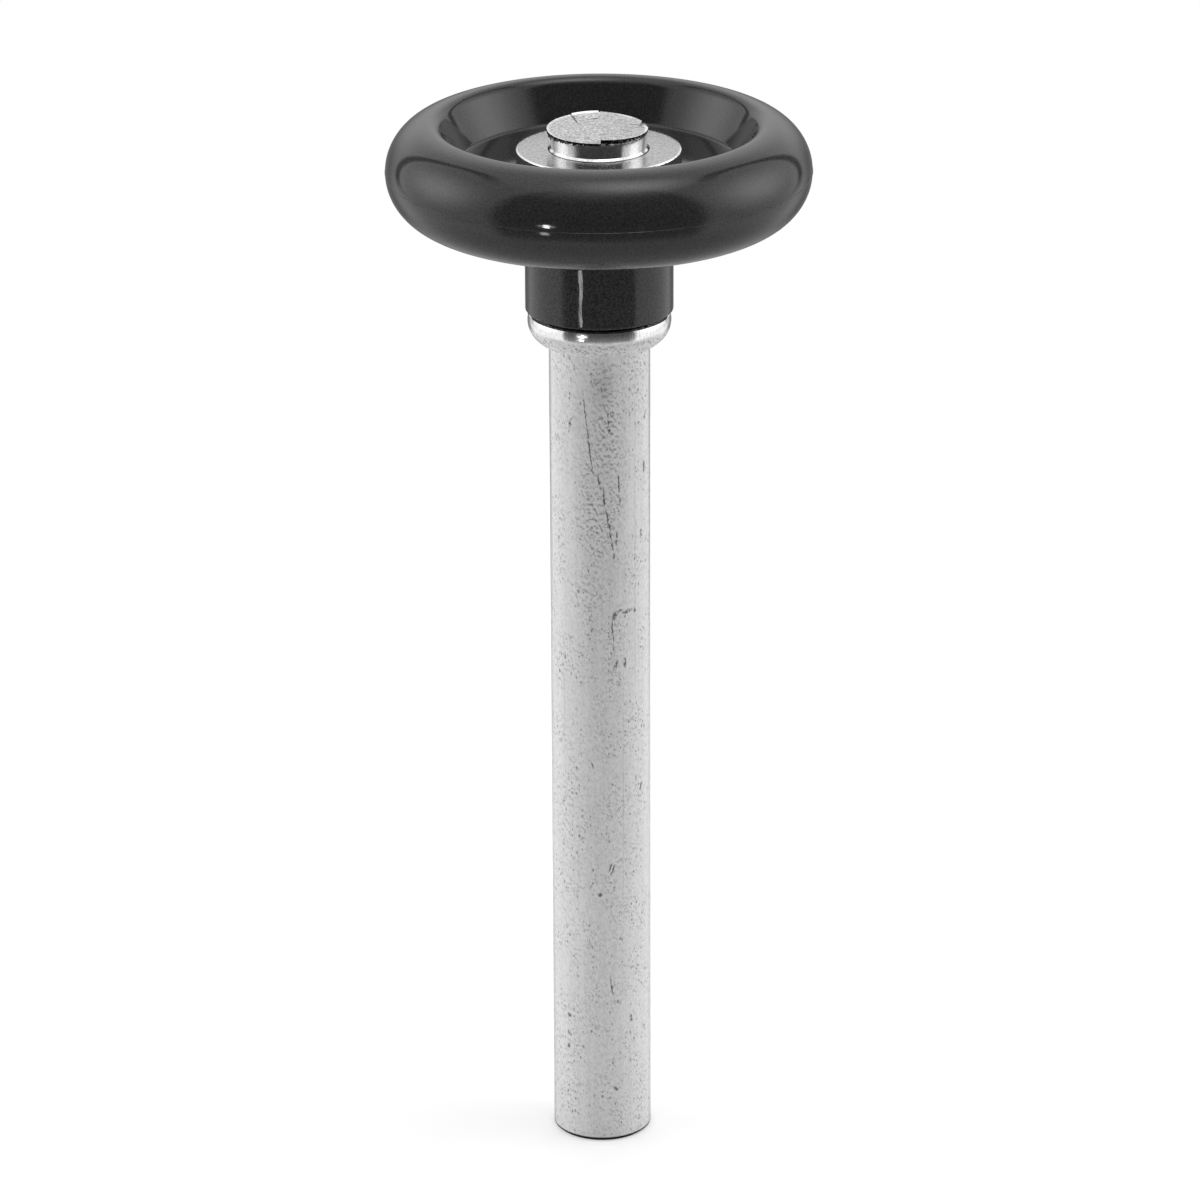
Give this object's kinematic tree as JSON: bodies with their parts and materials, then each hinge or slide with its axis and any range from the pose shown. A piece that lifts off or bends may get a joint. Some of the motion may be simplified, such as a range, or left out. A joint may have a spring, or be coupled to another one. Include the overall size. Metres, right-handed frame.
{
  "type": "garage door roller",
  "caption": "Track roller for a sectional overhead door: a dished nylon wheel with a long hub turns on a plain steel stem with an upset collar and a peened head over a flat washer.",
  "frame": {"origin": "centre of the flat free end of the stem, on which the roller stands", "axes": "+Z along the stem towards the wheel, +X to the right and -Y towards the viewer in the usual view"},
  "size_m": [0.0462, 0.0462, 0.1199],
  "materials": {
    "stem": "zinc-plated cold-headed rod, satin, with fine pits and rub marks",
    "wheel": "black moulded nylon, glossy, with a fine parting line round the tread",
    "washer": "zinc-plated punched washer, satin"
  },
  "bodies": {
    "stem": {"stem": "stem"},
    "wheel": {"wheel": "wheel"},
    "washer": {"washer": "washer"}
  },
  "joints": [
    {"name": "wheel_spin", "type": "hinge", "parent": "stem", "child": "wheel", "pos_m": [0, 0, 0.11445], "axis": [0, 0, 1], "continuous": true},
    {"name": "washer_spin", "type": "hinge", "parent": "stem", "child": "washer", "pos_m": [0, 0, 0.1161], "axis": [0, 0, 1], "continuous": true}
  ]
}
